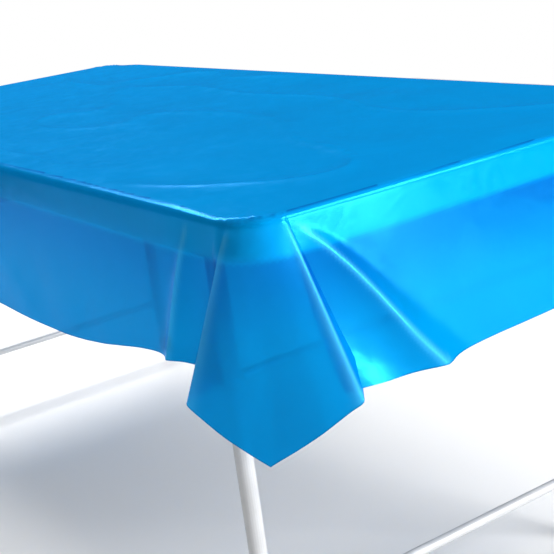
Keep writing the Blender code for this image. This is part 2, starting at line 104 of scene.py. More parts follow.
# Soft ridges that run down the skirts beside each corner: where each starts along the edge, how
# far along the edge it runs per metre of drop, how far it stands out per metre of drop, and how
# wide it is at the top.
RIDGES = {
    (-1, -1, "side"): (0.055, 0.34, 0.075, 0.008),
    (-1, -1, "end"): (0.004, 0.80, 0.105, 0.008),
    (1, -1, "side"): (0.020, 0.52, 0.060, 0.016),
    (1, -1, "end"): (0.010, 0.60, 0.060, 0.014),
    (-1, 1, "side"): (0.030, 0.55, 0.055, 0.016),
    (-1, 1, "end"): (0.010, 0.50, 0.065, 0.012),
    (1, 1, "side"): (0.015, 0.64, 0.055, 0.018),
    (1, 1, "end"): (0.020, 0.55, 0.060, 0.014),
}


# --- settings ------------------------------------------------------------------------------


class FilmSettings(bpy.types.PropertyGroup):
    width: bpy.props.FloatProperty(
        name="Film width",
        description="Cut width of the film, across the table",
        default=1.20,
        unit="LENGTH",
    )
    length: bpy.props.FloatProperty(
        name="Film length",
        description="Cut length of the film, along the table",
        default=2.27,
        unit="LENGTH",
    )
    fine: bpy.props.FloatProperty(
        name="Corner mesh",
        description="Size of the film's mesh faces at the edges and corners",
        default=0.0042,
        unit="LENGTH",
    )
    coarse: bpy.props.FloatProperty(
        name="Top mesh",
        description="Size of the film's mesh faces on the tabletop",
        default=0.0105,
        unit="LENGTH",
    )
    flare: bpy.props.FloatProperty(
        name="Flare",
        description="How far the skirts stand off plumb, as a share of their drop",
        default=0.03,
    )
    wave: bpy.props.FloatProperty(
        name="Waves",
        description="How far the skirts wave in and out at the hem",
        default=0.002,
        unit="LENGTH",
    )
    gather: bpy.props.FloatProperty(
        name="Gathers",
        description="Height of the small gathers at the table's rounded corners",
        default=0.0007,
        unit="LENGTH",
    )
    roll: bpy.props.FloatProperty(
        name="Edge roll",
        description="How far the film rises off the tabletop beside its long edges",
        default=0.004,
        unit="LENGTH",
    )
    colour: bpy.props.FloatVectorProperty(
        name="Film colour",
        description="Colour of the light that the film scatters back",
        subtype="COLOR",
        default=(0.0, 0.275, 0.64),
    )
    shaded: bpy.props.FloatVectorProperty(
        name="Colour under the edge",
        description="Film colour just below the tabletop's edge, where little light is behind it",
        subtype="COLOR",
        default=(0.0, 0.12, 0.46),
    )
    # Painted highlight: a paler film colour along the folds, standing in for the light they catch.
    painted_fold_highlight: bpy.props.FloatVectorProperty(
        name="Fold colour",
        description="Film colour along its folds, where it is paler",
        subtype="COLOR",
        default=(0.10, 0.66, 1.0),
    )
    # Painted glow: a lighter film colour where the white slab lies right behind the film, standing
    # in for the light it sends back through.
    painted_white_glow: bpy.props.FloatVectorProperty(
        name="Colour over white",
        description="Film colour where the white edge of the tabletop lies right behind it",
        subtype="COLOR",
        default=(0.0, 0.43, 0.92),
    )
    gloss: bpy.props.FloatVectorProperty(
        name="Gloss colour",
        description="Colour of what the film mirrors",
        subtype="COLOR",
        default=(0.02, 0.45, 1.0),
    )
    glow: bpy.props.FloatVectorProperty(
        name="Glow colour",
        description="Colour of the light that comes through the film from behind",
        subtype="COLOR",
        default=(0.0, 0.38, 1.0),
    )
    tint: bpy.props.FloatVectorProperty(
        name="Tint",
        description="Colour that the film gives to what is seen through it",
        subtype="COLOR",
        default=(0.0, 0.42, 1.0),
    )
    ior: bpy.props.FloatProperty(
        name="Clear gloss",
        description="Index of refraction of the film's clear skin, which mirrors white light",
        default=1.07,
    )
    shine: bpy.props.FloatProperty(
        name="Shine",
        description="Share of the light that the film mirrors",
        default=0.14,
        subtype="FACTOR",
    )
    backlight: bpy.props.FloatProperty(
        name="Backlight",
        description="Share of the light that the film passes on scattered",
        default=0.22,
        subtype="FACTOR",
    )
    through: bpy.props.FloatProperty(
        name="See-through",
        description="Share of the light that passes straight through the film",
        default=0.11,
        subtype="FACTOR",
    )


class TableSettings(bpy.types.PropertyGroup):
    panel_colour: bpy.props.FloatVectorProperty(
        name="Panel",
        description="Colour of the moulded tabletop",
        subtype="COLOR",
        default=(0.80, 0.80, 0.78),
    )
    panel_depth: bpy.props.FloatProperty(
        name="Panel depth",
        description="Thickness of the hollow panel inside its rim",
        default=0.026,
        unit="LENGTH",
    )
    ring_radius: bpy.props.FloatProperty(
        name="Pinch ring radius",
        description="Radius of the rims round the pinches under the tabletop",
        default=0.0115,
        unit="LENGTH",
    )
    rim_radius: bpy.props.FloatProperty(
        name="Pinch rim radius",
        description="Radius of the rounded rim of each pinch",
        default=0.0014,
        unit="LENGTH",
    )
    rib_step: bpy.props.FloatProperty(
        name="Rib step",
        description="Height from one grip rib of a foot cap to the next",
        default=0.006,
        unit="LENGTH",
    )
    rib_radius: bpy.props.FloatProperty(
        name="Rib radius",
        description="Radius of the rounded grip ribs of the foot caps",
        default=0.0009,
        unit="LENGTH",
    )
    steel_colour: bpy.props.FloatVectorProperty(
        name="Steel paint",
        description="Colour of the powder coat on the tubes",
        subtype="COLOR",
        default=(0.60, 0.61, 0.62),
    )
    foot_colour: bpy.props.FloatVectorProperty(
        name="Feet",
        description="Colour of the foot caps",
        subtype="COLOR",
        default=(0.08, 0.08, 0.09),
    )


class StudioSettings(bpy.types.PropertyGroup):
    floor_colour: bpy.props.FloatVectorProperty(
        name="Floor",
        description="Colour of the floor and backdrop",
        subtype="COLOR",
        default=(0.90, 0.90, 0.90),
    )
    key_power: bpy.props.FloatProperty(
        name="Key light",
        description="Power of the soft light in front of the table's end",
        default=110.0,
        unit="POWER",
    )
    fill_power: bpy.props.FloatProperty(
        name="Fill light",
        description="Power of the soft light on the long side",
        default=0.8,
        unit="POWER",
    )
    low_power: bpy.props.FloatProperty(
        name="Low light",
        description="Power of the soft light that stands on the floor in front",
        default=52.0,
        unit="POWER",
    )
    back_power: bpy.props.FloatProperty(
        name="Back light",
        description="Power of the soft light behind the table",
        default=325.0,
        unit="POWER",
    )
    sky: bpy.props.FloatProperty(
        name="Surroundings",
        description="Brightness of the light from the white surroundings",
        default=0.38,
    )


# --- shader maths --------------------------------------------------------------------------


class Value:
    """One socket of a material, so that shader maths reads as a Python expression."""

    def __init__(self, tree, socket):
        self.tree = tree
        self.socket = socket

    def _math(self, operation, first, second):
        node = self.tree.nodes.new("ShaderNodeMath")
        node.operation = operation
        for socket, value in zip(node.inputs, (first, second)):
            if isinstance(value, Value):
                self.tree.links.new(value.socket, socket)
            else:
                socket.default_value = value
        return Value(self.tree, node.outputs[0])

    def __add__(self, other):
        return self._math("ADD", self, other)

    __radd__ = __add__

    def __sub__(self, other):
        return self._math("SUBTRACT", self, other)

    def __rsub__(self, other):
        return self._math("SUBTRACT", other, self)

    def __mul__(self, other):
        return self._math("MULTIPLY", self, other)

    __rmul__ = __mul__

    def __truediv__(self, other):
        return self._math("DIVIDE", self, other)

    def __pow__(self, other):
        return self._math("POWER", self, other)


class Finish:
    """A material or a world under construction, with one method that adds any node."""

    def __init__(self, name, world=None):
        self.material = world or bpy.data.materials.new(name)
        self.material.use_nodes = True
        self.tree = self.material.node_tree
        self.tree.nodes.clear()
        kind = "ShaderNodeOutputWorld" if world else "ShaderNodeOutputMaterial"
        self.output = self.tree.nodes.new(kind)

    def node(self, kind, settings=None, inputs=None, output=0):
        node = self.tree.nodes.new(kind)
        for name, value in (settings or {}).items():
            setattr(node, name, value)
        for name, value in (inputs or {}).items():
            socket = node.inputs[name]
            if isinstance(value, Value):
                self.tree.links.new(value.socket, socket)
            else:
                socket.default_value = value
        return Value(self.tree, node.outputs[output])

    def place(self):
        return self.node("ShaderNodeTexCoord", output="Object")

    def spread(self, value, low, high, start=0.0, stop=1.0):
        """The value's range low to high, stretched to start to stop and held there."""
        return self.node(
            "ShaderNodeMapRange",
            {"clamp": True},
            {"Value": value, "From Min": low, "From Max": high, "To Min": start, "To Max": stop},
        )

    def blend(self, factor, first, second):
        return self.node(
            "ShaderNodeMix",
            {"data_type": "RGBA"},
            {"Factor": factor, 6: first, 7: second},
            output=2,
        )

    def noise(self, place, scale, detail=2.0, roughness=0.5, distortion=0.0):
        return self.node(
            "ShaderNodeTexNoise",
            {},
            {
                "Vector": place,
                "Scale": scale,
                "Detail": detail,
                "Roughness": roughness,
                "Distortion": distortion,
            },
        )

    def bump(self, height, distance, strength=1.0):
        inputs = {"Height": height, "Distance": distance, "Strength": strength}
        return self.node("ShaderNodeBump", {}, inputs)

    def done(self, shader):
        self.tree.links.new(shader.socket, self.output.inputs[0])
        return self.material


def rgba(colour):
    return (*colour, 1.0)


# --- film ----------------------------------------------------------------------------------


def smooth_rise(low, high, value):
    share = np.clip((value - low) / (high - low), 0, 1)
    return share * share * (3 - 2 * share)


def path_shares(points):
    """How far along a bent line each of its points is, as shares of its length."""
    steps = np.linalg.norm(np.diff(np.array(points, float), axis=0), axis=1)
    return np.r_[0, np.cumsum(steps)] / steps.sum()


def eased_path(share, points, ease, samples=9):
    """Points at shares of a bent line's length, with the line's corners rounded."""
    reached = path_shares(points)
    points = np.array(points, float)
    total = 0
    for shift in np.linspace(-ease, ease, samples):
        at = np.clip(share + shift, 0, 1)
        total = total + np.stack([np.interp(at, reached, points[:, k]) for k in range(2)], -1)
    return total / samples


def mesh_lines(half, outer, fine, coarse):
    """Grid lines across the film: close together at the edges, and wider apart on top."""
    start = half - FINE_BAND
    edge = np.linspace(start, outer, round((outer - start) / fine) + 1)
    middle = np.linspace(-start, start, round(2 * start / coarse) + 1)
    return np.concatenate([-edge[::-1], middle[1:-1], edge])


def noise_field(points, scale, seed):
    """Smooth noise between about -1 and 1 at each point."""
    offset = Vector((seed * 17.3, seed * 5.1, seed * 9.7))
    return np.array([noise.noise(Vector(p) * scale + offset) for p in points])


def lie(x, y):
    """Where each flat point of the film lies before it hangs: the film is laid a little askew."""
    beyond_end = HALF_LENGTH + y
    beyond_side = HALF_WIDTH + x
    near_side = np.exp(-(((beyond_end - 0.18) / 0.22) ** 2)) * smooth_rise(0.0, 0.12, beyond_end)
    near_end = np.exp(-(((beyond_side - 0.15) / 0.30) ** 2)) * smooth_rise(-0.1, 0.1, beyond_side)
    toward = np.exp(-np.maximum(beyond_side, 0) / 0.4)
    across = x - 0.024 + 0.046 * near_side * toward
    along = y - 0.014 * near_end * np.exp(-np.maximum(beyond_end, 0) / 0.4)
    return across, along


def hang(x, y, flare, roll):
    """The film's flat points, hung over the slab: (points, facts about each point)."""
    x, y = lie(x, y)
    sign_x = np.where(x < 0, -1, 1)
    sign_y = np.where(y < 0, -1, 1)
    across, along = np.abs(x), np.abs(y)
    over_x = across - (HALF_WIDTH - SLAB_CORNER)
    over_y = along - (HALF_LENGTH - SLAB_CORNER)
    corner = (over_x > 0) & (over_y > 0)
    side = over_x >= over_y
    reach = np.where(corner, np.hypot(over_x, over_y), np.maximum(over_x, over_y)) - SLAB_CORNER
    share = np.where(corner, np.arctan2(over_y, over_x) / (math.pi / 2), np.where(side, 0, 1))

    # The film that the folds take up is gathered at the two ends of the slab's rounded corner.
    gather = smooth_rise(-0.035, 0.0, reach)
    held = share.copy()
    for place, flap in FLAPS.items():
        here = corner & (sign_x == place[0]) & (sign_y == place[1])
        folds = path_shares(flap["lean"])[[0, FIRST_FOLD, SECOND_FOLD, -1]]
        bunched = np.interp(share[here], folds, (0, *flap["held"], 1))
        held[here] += (bunched - held[here]) * gather[here]
    angle = held * math.pi / 2
    out_x, out_y = np.cos(angle), np.sin(angle)
    round_x = HALF_WIDTH - SLAB_CORNER + (SLAB_CORNER + np.minimum(reach, 0)) * out_x
    round_y = HALF_LENGTH - SLAB_CORNER + (SLAB_CORNER + np.minimum(reach, 0)) * out_y
    edge_x = np.where(corner, round_x, np.where(side, np.minimum(across, HALF_WIDTH), across))
    edge_y = np.where(corner, round_y, np.where(side, along, np.minimum(along, HALF_LENGTH)))

    # The bend over the slab's rounded edge, a little puffed up along the long sides.
    beside = np.where(side, HALF_LENGTH - SLAB_CORNER - along, HALF_WIDTH - SLAB_CORNER - across)
    beside = np.where(corner, 0, np.maximum(0, beside))
    puff = np.where(side & ~corner, roll * smooth_rise(0.0, 0.12, beside), 0)
    bend = SLAB_EDGE + FILM_LIFT + puff
    run = reach + SLAB_EDGE
    on_top = run <= 0
    puff = np.where(on_top, puff * np.exp(-((run / 0.045) ** 2)), puff)
    turn = np.clip(run / bend, 0, math.pi / 2)
    out = np.where(on_top, 0, bend * np.sin(turn) - SLAB_EDGE - np.minimum(reach, 0))
    fall = np.where(on_top, 0, bend * (1 - np.cos(turn)))
    rest = np.maximum(0, run - bend * math.pi / 2)
    below = np.maximum(0, rest - (SLAB_DEPTH - bend - 0.004))

    # Which way each fall line leans.
    away = smooth_rise(0.0, 0.16, beside)
    lean_x = np.where(side, flare * away, 0)
    lean_y = np.where(side, 0, flare * away)
    for place, flap in FLAPS.items():
        here = corner & (sign_x == place[0]) & (sign_y == place[1])
        lean = eased_path(share[here], flap["lean"], flap["crisp"])
        lean_x[here] = lean[:, 0]
        lean_y[here] = lean[:, 1]
    outward = lean_x * out_x + lean_y * out_y
    along_x, along_y = lean_x - outward * out_x, lean_y - outward * out_y

    # The soft ridges beside the corners.
    ridge = np.zeros_like(x)
    # fold marks the ridge lines and the flap's folds, where the film's colour gets a painted
    # highlight.
    fold = np.zeros_like(x)
    trumpet = np.where(~corner & ~side, 1.0, 0.0)
    for (place_x, place_y, face), (start, slope, crest, width) in RIDGES.items():
        here = ~corner & (sign_x == place_x) & (sign_y == place_y) & (side == (face == "side"))
        path = FLAPS[place_x, place_y]["lean"]
        inward, sideways = path[0] if face == "side" else path[-1][::-1]
        line = start + slope * rest[here]
        aside = np.abs(beside[here] - line) / (width + 0.09 * rest[here])
        rise = crest * np.exp(-(aside**1.5)) * rest[here]
        turned_out = 1 - TURN_OUT * trumpet[here] * below[here] / FREE_DROP
        tuck = inward * (1 - smooth_rise(0.0, 1.0, beside[here] / line)) * below[here]
        tuck *= turned_out
        fold[here] = np.exp(-((np.abs(beside[here] - line) / (0.004 + 0.016 * rest[here])) ** 2))
        ridge[here] = rise * smooth_rise(0.0, 0.04, rest[here]) + tuck
        drawn = sideways * (1 - smooth_rise(0.0, 0.16, beside[here]))
        if face == "side":
            along_y[here] += drawn
        else:
            along_x[here] += drawn

    for place, flap in FLAPS.items():
        here = corner & (sign_x == place[0]) & (sign_y == place[1])
        folds = path_shares(flap["lean"])[[FIRST_FOLD, SECOND_FOLD]]
        near = np.min(np.abs(share[here][:, None] - folds), axis=1)
        fold[here] = np.exp(-((near / 0.022) ** 2))
        trumpet[here] = smooth_rise(folds[1], 1, share[here])
    fold *= smooth_rise(0.0, 0.02, rest)

    tucked = below * (1 - TURN_OUT * trumpet * corner * below / FREE_DROP)
    push = np.maximum(outward, 0) * rest + np.minimum(outward, 0) * tucked + ridge
    move_x = along_x * rest + push * out_x
    move_y = along_y * rest + push * out_y
    spread = (move_x**2 + move_y**2) / np.maximum(rest, 1e-6) ** 2
    drop = rest * np.sqrt(np.maximum(0.25, 1 - spread))
    points = np.stack(
        [
            (edge_x + out_x * out + move_x) * sign_x,
            (edge_y + out_y * out + move_y) * sign_y,
            TOP_HEIGHT + FILM_LIFT + puff - fall - drop,
        ],
        -1,
    )
    facts = {
        "rest": rest,
        "run": run,
        "fold": fold,
        "side": side & ~corner,
        "outward": np.stack([out_x * sign_x, out_y * sign_y, np.zeros_like(x)], -1),
        "corner": corner,
        "share": share,
    }
    return points, facts


def film_mesh(settings):
    lines_x = mesh_lines(HALF_WIDTH, settings.width / 2, settings.fine, settings.coarse)
    lines_y = mesh_lines(HALF_LENGTH, settings.length / 2, settings.fine, settings.coarse)
    grid_x, grid_y = np.meshgrid(lines_x, lines_y, indexing="ij")
    flat = np.stack([grid_x.ravel(), grid_y.ravel()], -1)
    points, facts = hang(flat[:, 0], flat[:, 1], settings.flare, settings.roll)

    # Slow waves down the skirts, stronger towards the hem.
    rest, run = facts["rest"], facts["run"]
    spots = np.c_[flat, np.zeros(len(flat))]
    free = rest > 0
    wave = np.zeros(len(flat))
    wave[free] = noise_field(spots[free], 8.0, 1) + 0.4 * noise_field(spots[free], 21.0, 2)
    points += facts["outward"] * (wave * settings.wave * smooth_rise(0.03, 0.2, rest))[:, None]

    # On the tabletop: shallow pockets of air and long creases.
    top = run < 0
    lift = np.zeros(len(flat))
    stretched = spots[top] * (1.0, 0.55, 1.0)
    pockets = np.maximum(0, noise_field(stretched, 7.0, 3) + 0.1)
    creases = (1 - np.abs(noise_field(stretched, 4.0, 4))) ** 14
    inset = -run[top]
    lift[top] = (0.0034 * pockets + 0.0036 * creases) * smooth_rise(0.0, 0.05, inset)
    points[:, 2] += lift

    # Gathers where the rounded corner takes in the film.
    corner, share = facts["corner"], facts["share"]
    pucker = np.exp(-(((run + 0.004) / 0.026) ** 2)) * corner * np.sin(math.pi * share)
    tuft = np.sin(share * 61.0 + 3.0 * np.sin(share * 17.0))
    points[:, 2] += pucker * settings.gather * (1 + tuft) * (run < 0.004)
    points += facts["outward"] * (pucker * settings.gather * (1 + tuft) * (run > 0))[:, None]

    index = np.arange(len(flat)).reshape(grid_x.shape)
    faces = np.stack([index[:-1, :-1], index[1:, :-1], index[1:, 1:], index[:-1, 1:]], -1)
    mesh = bpy.data.meshes.new("film_tablecloth")
    mesh.from_pydata(points.tolist(), [], faces.reshape(-1, 4).tolist())
    layer = mesh.uv_layers.new(name="cut")
    corners = np.empty(len(mesh.loops), np.int64)
    mesh.loops.foreach_get("vertex_index", corners)
    layer.data.foreach_set("uv", flat[corners].astype(np.float32).ravel())
    # How near the slab's side the film hangs, which places the painted glow where the white slab
    # lies behind the film and the painted shade just below the slab, and how far each point is from
    # the film's cut edge, where a darker line is painted.
    gap_x = np.abs(points[:, 0]) - HALF_WIDTH
    gap_y = np.abs(points[:, 1]) - HALF_LENGTH
    gap = np.maximum(np.maximum(gap_x, gap_y), 0)
    level = smooth_rise(-0.003, 0.006, points[:, 2] - TOP_LOW.z) * smooth_rise(-0.002, 0.006, run)
    painted_glow_mask = np.maximum(level * (1 - smooth_rise(0.004, 0.03, gap)), run < 0)
    # Mask for painted shade: the film is darkest just below the slab and lightens over 13 cm
    # towards the hem.
    under = smooth_rise(0.0, 0.13, TOP_LOW.z - points[:, 2])
    to_side = settings.width / 2 - np.abs(flat[:, 0])
    to_end = settings.length / 2 - np.abs(flat[:, 1])
    to_hem = np.minimum(to_side, to_end)
    for name, values in (
        ("painted_glow_mask", painted_glow_mask),
        ("under", under),
        ("to_hem", to_hem),
        ("fold", facts["fold"]),
    ):
        layer = mesh.attributes.new(name, "FLOAT", "POINT")
        layer.data.foreach_set("value", values.astype(np.float32))
    mesh.shade_smooth()
    return mesh


def film_finish(settings):
    """Thin glossy film: it scatters blue light back, glows with light from behind, and lets a
    little light straight through, so that what it touches shows through faintly. Its base colour
    also carries a painted glow where the white slab lies behind it, painted shade just below the
    slab, painted highlights along its folds and a painted darker line along its cut edge."""
    finish = Finish("film_blue")
    cut = finish.node("ShaderNodeUVMap", {"uv_map": "cut"})
    place = finish.place()
    ripple = finish.noise(place, 7.0, 3.0, 0.55, 0.6)
    crinkle = finish.noise(cut, 34.0, 4.0, 0.6, 1.2)
    height = ripple * 0.8 + crinkle * 0.10
    normal = finish.bump(height, 0.004, 0.45)
    # Painted shade: darker film just below the slab, lightening towards the hem.
    under = finish.node("ShaderNodeAttribute", {"attribute_name": "under"}, output="Fac")
    shade = finish.blend(under, rgba(settings.shaded), rgba(settings.colour))
    # Painted glow where the white slab lies right behind the film, on its edge and under the
    # tabletop film.
    painted_glow_mask = finish.node("ShaderNodeAttribute", {"attribute_name": "painted_glow_mask"}, output="Fac")
    shade = finish.blend(painted_glow_mask, shade, rgba(settings.painted_white_glow))
    mottle = 0.94 + 0.06 * finish.spread(ripple, 0.35, 0.65)
    shade = finish.node("ShaderNodeVectorMath", {"operation": "SCALE"}, {0: shade, "Scale": mottle})
    # Painted highlight: a paler blue along the folds, standing in for the light they catch.
    fold = finish.node("ShaderNodeAttribute", {"attribute_name": "fold"}, output="Fac")
    shade = finish.blend(fold * 0.6, shade, rgba(settings.painted_fold_highlight))
    # Painted shade: a thin darker line along the film's cut edge.
    to_hem = finish.node("ShaderNodeAttribute", {"attribute_name": "to_hem"}, output="Fac")
    painted_hem_shade = 1 - finish.spread(to_hem, 0.0010, 0.0028)
    shade = finish.blend(painted_hem_shade * 0.6, shade, rgba([c * 0.35 for c in settings.colour]))
    rough = finish.spread(crinkle, 0.3, 0.7, 0.16, 0.26)
    skin = finish.node(
        "ShaderNodeBsdfPrincipled",
        {},
        {"Base Color": shade, "Roughness": rough, "IOR": settings.ior, "Normal": normal},
    )
    gloss = finish.node(
        "ShaderNodeBsdfPrincipled",
        {},
        {
            "Base Color": rgba(settings.gloss),
            "Specular Tint": rgba(settings.gloss),
            "Metallic": 1.0,
            "Roughness": rough,
            "Normal": normal,
        },
    )
    glow = finish.node(
        "ShaderNodeBsdfTranslucent", {}, {"Color": rgba(settings.glow), "Normal": normal}
    )
    clear = finish.node("ShaderNodeBsdfTransparent", {}, {"Color": rgba(settings.tint)})
    face = finish.node("ShaderNodeMixShader", {}, {0: settings.shine, 1: skin, 2: gloss})
    body = finish.node("ShaderNodeMixShader", {}, {0: settings.backlight, 1: face, 2: glow})
    return finish.done(
        finish.node("ShaderNodeMixShader", {}, {0: settings.through, 1: body, 2: clear})
    )


class TABLECLOTH_OT_drape_film(bpy.types.Operator):
    """Hangs the film over the table, with its pointed flaps at the corners"""

    bl_idname = "tablecloth.drape_film"
    bl_label = "Drape Film"

    def execute(self, context):
        settings = context.scene.film_settings
        mesh = film_mesh(settings)
        film = bpy.data.objects.new("film_tablecloth", mesh)
        context.scene.collection.objects.link(film)
        mesh.materials.append(film_finish(settings))
        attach(film, "cloth")
        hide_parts("tablecloth")
        return {"FINISHED"}


# --- table ---------------------------------------------------------------------------------


def panel_finish(colour):
    """Moulded polyethylene with a fine pebble grain."""
    finish = Finish("moulded_panel")
    place = finish.place()
    pebble = finish.node(
        "ShaderNodeTexVoronoi", {"feature": "SMOOTH_F1"}, {"Vector": place, "Scale": 450.0}
    )
    cloud = finish.noise(place, 5.0, 4.0)
    normal = finish.bump(pebble, 0.0004, 0.6)
    shade = finish.blend(
        finish.spread(cloud, 0.3, 0.7), rgba([c * 0.94 for c in colour]), rgba(colour)
    )
    rough = finish.spread(cloud, 0.3, 0.7, 0.42, 0.55)
    return finish.done(
        finish.node(
            "ShaderNodeBsdfPrincipled",
            {},
            {"Base Color": shade, "Roughness": rough, "Normal": normal},
        )
    )


def paint_finish(colour):
    """Powder coat with its orange-peel skin."""
    finish = Finish("powder_coat")
    place = finish.place()
    peel = finish.noise(place, 900.0, 2.0)
    wear = finish.noise(place, 18.0, 5.0, 0.65)
    normal = finish.bump(peel, 0.0002, 0.5)
    shade = finish.blend(
        finish.spread(wear, 0.35, 0.7), rgba([c * 0.9 for c in colour]), rgba(colour)
    )
    rough = finish.spread(wear, 0.3, 0.7, 0.32, 0.46)
    return finish.done(
        finish.node(
            "ShaderNodeBsdfPrincipled",
            {},
            {"Base Color": shade, "Roughness": rough, "Normal": normal, "Metallic": 0.15},
        )
    )


def zinc_finish():
    """Bright zinc plate, slightly spangled."""
    finish = Finish("zinc_plate")
    place = finish.place()
    spangle = finish.node("ShaderNodeTexVoronoi", {}, {"Vector": place, "Scale": 220.0})
    brushed = finish.noise(place, 500.0, 3.0)
    shade = finish.blend(
        finish.spread(spangle, 0.1, 0.8), (0.55, 0.55, 0.53, 1.0), (0.72, 0.72, 0.70, 1.0)
    )
    rough = finish.spread(brushed, 0.3, 0.7, 0.26, 0.42)
    return finish.done(
        finish.node(
            "ShaderNodeBsdfPrincipled",
            {},
            {"Base Color": shade, "Roughness": rough, "Metallic": 1.0},
        )
    )


def plastic_finish(name, colour, grain):
    """Plain moulded plastic with a fine grain."""
    finish = Finish(name)
    place = finish.place()
    speck = finish.noise(place, grain, 3.0)
    normal = finish.bump(speck, 0.0003, 0.4)
    shade = finish.blend(
        finish.spread(speck, 0.3, 0.7), rgba([c * 0.88 for c in colour]), rgba(colour)
    )
    return finish.done(
        finish.node(
            "ShaderNodeBsdfPrincipled",
            {},
            {
                "Base Color": shade,
                "Roughness": finish.spread(speck, 0.3, 0.7, 0.45, 0.6),
                "Normal": normal,
            },
        )
    )


def paint_nodes(names, material):
    """Gives CAD nodes a finish."""
    for name in names:
        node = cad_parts[name]
        node.data.materials.clear()
        node.data.materials.append(material)


def nodes_starting(*starts):
    return [name for name in sorted(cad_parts) if name.startswith(starts)]


class TABLECLOTH_OT_finish_panel(bpy.types.Operator):
    """Gives the moulded tabletop its grain"""

    bl_idname = "tablecloth.finish_panel"
    bl_label = "Finish Tabletop"

    def execute(self, context):
        settings = context.scene.table_settings
        paint_nodes(["tabletop"], panel_finish(settings.panel_colour))
        return {"FINISHED"}


def ring_rows_tree(material):
    """A tree that sets low round rims on a grid of points, some levels high on each."""
    tree = bpy.data.node_groups.new("ring_rows", "GeometryNodeTree")
    tree.interface.new_socket("Geometry", in_out="OUTPUT", socket_type="NodeSocketGeometry")
    for name, kind in (
        ("Width", "Float"),
        ("Length", "Float"),
        ("Columns", "Int"),
        ("Rows", "Int"),
        ("Along", "Float"),
        ("Height", "Float"),
        ("Levels", "Int"),
        ("Step", "Float"),
        ("Ring radius", "Float"),
        ("Rim radius", "Float"),
    ):
        tree.interface.new_socket(name, in_out="INPUT", socket_type="NodeSocket" + kind)
    sizes = tree.nodes.new("NodeGroupInput")
    result = tree.nodes.new("NodeGroupOutput")

    def add(kind, **inputs):
        node = tree.nodes.new("GeometryNode" + kind)
        for name, source in inputs.items():
            socket = node.inputs[name.replace("_", " ")]
            if isinstance(source, bpy.types.NodeSocket):
                tree.links.new(source, socket)
            else:
                socket.default_value = source
        return node

    grid = add(
        "MeshGrid",
        Size_X=sizes.outputs["Width"],
        Size_Y=sizes.outputs["Length"],
        Vertices_X=sizes.outputs["Columns"],
        Vertices_Y=sizes.outputs["Rows"],
    )
    up = tree.nodes.new("ShaderNodeCombineXYZ")
    tree.links.new(sizes.outputs["Along"], up.inputs["Y"])
    tree.links.new(sizes.outputs["Height"], up.inputs["Z"])
    between = tree.nodes.new("ShaderNodeCombineXYZ")
    tree.links.new(sizes.outputs["Step"], between.inputs["Z"])
    raised = add("SetPosition", Geometry=grid.outputs["Mesh"], Offset=up.outputs[0])
    ring = add("CurvePrimitiveCircle", Resolution=28, Radius=sizes.outputs["Ring radius"])
    rim = add("CurvePrimitiveCircle", Resolution=8, Radius=sizes.outputs["Rim radius"])
    swept = add(
        "CurveToMesh", Curve=ring.outputs["Curve"], Profile_Curve=rim.outputs["Curve"]
    )
    level = add("MeshLine", Count=sizes.outputs["Levels"], Offset=between.outputs[0])
    stack = add(
        "InstanceOnPoints", Points=level.outputs["Mesh"], Instance=swept.outputs["Mesh"]
    )
    stacked = add("RealizeInstances", Geometry=stack.outputs["Instances"])
    rows = add(
        "InstanceOnPoints",
        Points=raised.outputs["Geometry"],
        Instance=stacked.outputs["Geometry"],
    )
    real = add("RealizeInstances", Geometry=rows.outputs["Instances"])
    smooth = add("SetShadeSmooth", Geometry=real.outputs["Geometry"])
    finished = add("SetMaterial", Geometry=smooth.outputs["Geometry"], Material=material)
    tree.links.new(finished.outputs["Geometry"], result.inputs["Geometry"])
    return tree


def grown(name, tree, sizes):
    """A plain mesh object made by a Geometry Nodes tree with these sizes."""
    seed = bpy.data.objects.new(name, bpy.data.meshes.new(name))
    bpy.context.scene.collection.objects.link(seed)
    modifier = seed.modifiers.new("rows", "NODES")
    modifier.node_group = tree
    for item in tree.interface.items_tree:
        if item.in_out == "INPUT":
            modifier[item.identifier] = sizes[item.name]
    graph = bpy.context.evaluated_depsgraph_get()
    mesh = bpy.data.meshes.new_from_object(seed.evaluated_get(graph), depsgraph=graph)
    seed.modifiers.remove(modifier)
    seed.data = mesh
    mesh.name = name
    return seed


class TABLECLOTH_OT_add_pinch_rings(bpy.types.Operator):
    """Adds the low rims on the tabletop's underside where its two skins are pinched together"""

    bl_idname = "tablecloth.add_pinch_rings"
    bl_label = "Add Pinch Rings"

    def execute(self, context):
        settings = context.scene.table_settings
        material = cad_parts["tabletop"].data.materials[0]
        step_x = 2 * HALF_WIDTH / (PINCH_COLUMNS + 1)
        step_y = 2 * HALF_LENGTH / (PINCH_ROWS + 1)
        sizes = {
            "Width": (PINCH_COLUMNS - 1) * step_x,
            "Length": (PINCH_ROWS - 1) * step_y,
            "Columns": PINCH_COLUMNS,
            "Rows": PINCH_ROWS,
            "Along": 0.0,
            "Height": TOP_HEIGHT - settings.panel_depth,
            "Levels": 1,
            "Step": 0.0,
            "Ring radius": settings.ring_radius,
            "Rim radius": settings.rim_radius,
        }
        rings = grown("pinch_rings", ring_rows_tree(material), sizes)
        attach(rings, "table")
        return {"FINISHED"}


